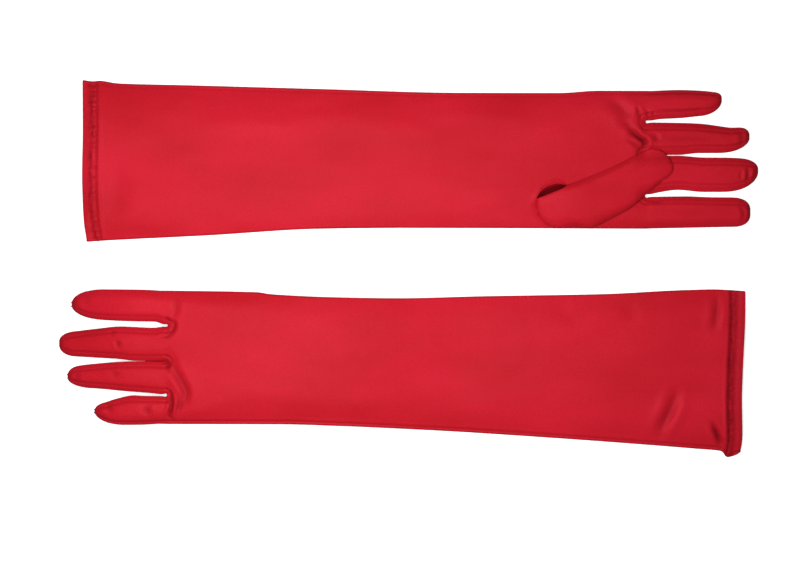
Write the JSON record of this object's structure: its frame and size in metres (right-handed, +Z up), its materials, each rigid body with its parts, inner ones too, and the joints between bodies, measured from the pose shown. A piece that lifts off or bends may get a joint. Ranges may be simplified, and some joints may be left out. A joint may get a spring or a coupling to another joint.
{
  "type": "opera gloves",
  "caption": "Pair of long stretch-satin opera gloves lying flat, with open hemmed cuffs, sewn finger side strips and a separate thumb on each glove.",
  "frame": {"origin": "middle of the pair's footprint, on the surface that the gloves lie on", "axes": "+X along the gloves, towards the right glove's fingertips; +Y from the left glove to the right glove; +Z up"},
  "size_m": [0.4638, 0.2504, 0.014],
  "materials": {
    "red_satin": "bright red stretch satin with a soft sheen and a very fine knit grain",
    "satin_wrong_side": "dull red wrong side of the satin",
    "sewing_thread": "matching red polyester thread"
  },
  "bodies": {
    "right_glove": {"right_palm_panel": "red_satin", "right_back_panel": "red_satin", "right_fourchette_index_middle": "red_satin", "right_fourchette_middle_ring": "red_satin", "right_fourchette_ring_little": "red_satin", "right_hem_lining": "red_satin", "right_hem_overlock": "sewing_thread", "right_side_seam_allowance": "satin_wrong_side", "right_thumb_seam": "sewing_thread"},
    "right_index_end": {"right_index_end_palm": "red_satin", "right_index_end_back": "red_satin", "right_index_end_fourchette_little_side": "red_satin"},
    "right_middle_end": {"right_middle_end_palm": "red_satin", "right_middle_end_back": "red_satin", "right_middle_end_fourchette_thumb_side": "red_satin", "right_middle_end_fourchette_little_side": "red_satin"},
    "right_ring_end": {"right_ring_end_palm": "red_satin", "right_ring_end_back": "red_satin", "right_ring_end_fourchette_thumb_side": "red_satin", "right_ring_end_fourchette_little_side": "red_satin"},
    "right_little_end": {"right_little_end_palm": "red_satin", "right_little_end_back": "red_satin", "right_little_end_fourchette_thumb_side": "red_satin"},
    "right_thumb": {"right_thumb": "red_satin"},
    "left_glove": {"left_palm_panel": "red_satin", "left_back_panel": "red_satin", "left_fourchette_index_middle": "red_satin", "left_fourchette_middle_ring": "red_satin", "left_fourchette_ring_little": "red_satin", "left_hem_lining": "red_satin", "left_hem_overlock": "sewing_thread", "left_side_seam_allowance": "satin_wrong_side", "left_thumb_seam": "sewing_thread"},
    "left_index_end": {"left_index_end_palm": "red_satin", "left_index_end_back": "red_satin", "left_index_end_fourchette_little_side": "red_satin"},
    "left_middle_end": {"left_middle_end_palm": "red_satin", "left_middle_end_back": "red_satin", "left_middle_end_fourchette_thumb_side": "red_satin", "left_middle_end_fourchette_little_side": "red_satin"},
    "left_ring_end": {"left_ring_end_palm": "red_satin", "left_ring_end_back": "red_satin", "left_ring_end_fourchette_thumb_side": "red_satin", "left_ring_end_fourchette_little_side": "red_satin"},
    "left_little_end": {"left_little_end_palm": "red_satin", "left_little_end_back": "red_satin", "left_little_end_fourchette_thumb_side": "red_satin"},
    "left_thumb": {"left_thumb": "red_satin"}
  },
  "joints": [
    {"name": "left_glove_lift", "type": "slide", "parent": "right_glove", "child": "left_glove", "axis": [0, 0, 1], "range_m": [0, 0.15]},
    {"name": "right_index_bend", "type": "hinge", "parent": "right_glove", "child": "right_index_end", "pos_m": [0.1847, 0.0373, 0.007], "axis": [0, -1, 0], "range_deg": [0, 90]},
    {"name": "right_middle_bend", "type": "hinge", "parent": "right_glove", "child": "right_middle_end", "pos_m": [0.1847, 0.0633, 0.007], "axis": [0, -1, 0], "range_deg": [0, 90]},
    {"name": "right_ring_bend", "type": "hinge", "parent": "right_glove", "child": "right_ring_end", "pos_m": [0.1827, 0.086, 0.007], "axis": [0, -1, 0], "range_deg": [0, 90]},
    {"name": "right_little_bend", "type": "hinge", "parent": "right_glove", "child": "right_little_end", "pos_m": [0.1747, 0.1085, 0.007], "axis": [0, -1, 0], "range_deg": [0, 90]},
    {"name": "right_thumb_swing", "type": "hinge", "parent": "right_glove", "child": "right_thumb", "pos_m": [0.0977, 0.041, 0.01105], "axis": [0, 0, -1], "range_deg": [0, 50]},
    {"name": "left_index_bend", "type": "hinge", "parent": "left_glove", "child": "left_index_end", "pos_m": [-0.1847, -0.0243, 0.014], "axis": [0, 1, 0], "range_deg": [0, 90]},
    {"name": "left_middle_bend", "type": "hinge", "parent": "left_glove", "child": "left_middle_end", "pos_m": [-0.1847, -0.0503, 0.014], "axis": [0, 1, 0], "range_deg": [0, 90]},
    {"name": "left_ring_bend", "type": "hinge", "parent": "left_glove", "child": "left_ring_end", "pos_m": [-0.1827, -0.073, 0.014], "axis": [0, 1, 0], "range_deg": [0, 90]},
    {"name": "left_little_bend", "type": "hinge", "parent": "left_glove", "child": "left_little_end", "pos_m": [-0.1747, -0.0955, 0.014], "axis": [0, 1, 0], "range_deg": [0, 90]},
    {"name": "left_thumb_swing", "type": "hinge", "parent": "left_glove", "child": "left_thumb", "pos_m": [-0.0977, -0.0315, 0.00295], "axis": [0, 0, -1], "range_deg": [0, 50]}
  ]
}
